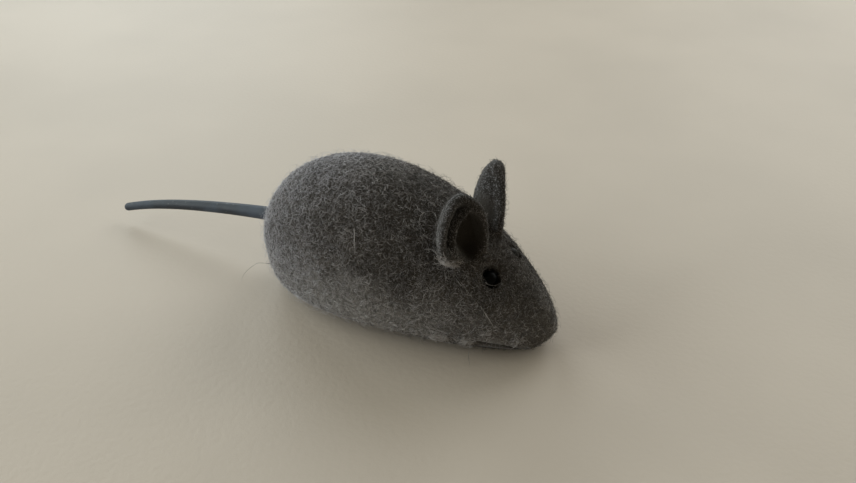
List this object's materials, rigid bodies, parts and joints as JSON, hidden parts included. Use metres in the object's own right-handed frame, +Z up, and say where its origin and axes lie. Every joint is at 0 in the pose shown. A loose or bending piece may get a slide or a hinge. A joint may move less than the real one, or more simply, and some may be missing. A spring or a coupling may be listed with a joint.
{
  "type": "flocked vinyl toy mouse",
  "caption": "Small squeaky toy mouse of soft vinyl flocked in grey: egg-shaped body on a flat base, upright cupped ears, bead eyes, mouth slit and a bare tapered rubber tail.",
  "frame": {"origin": "middle of the flat underside, on the surface the toy rests on", "axes": "+X from the middle to the nose, +Y to the mouse's own left, +Z up"},
  "size_m": [0.0989, 0.0308, 0.0305],
  "materials": {
    "flock": "short grey flocked fibres, matted and slightly curly, over dark vinyl",
    "tail": "bare smooth rubber with a soft gloss",
    "eye": "black, slightly dulled by dust",
    "squeaker": "pale moulded plastic, satin"
  },
  "bodies": {
    "root": {"trunk": "flock", "head": "flock", "ear_left": "flock", "ear_right": "flock", "eye_left": "eye", "eye_right": "eye", "tail": "tail", "squeaker": "squeaker"}
  },
  "joints": []
}
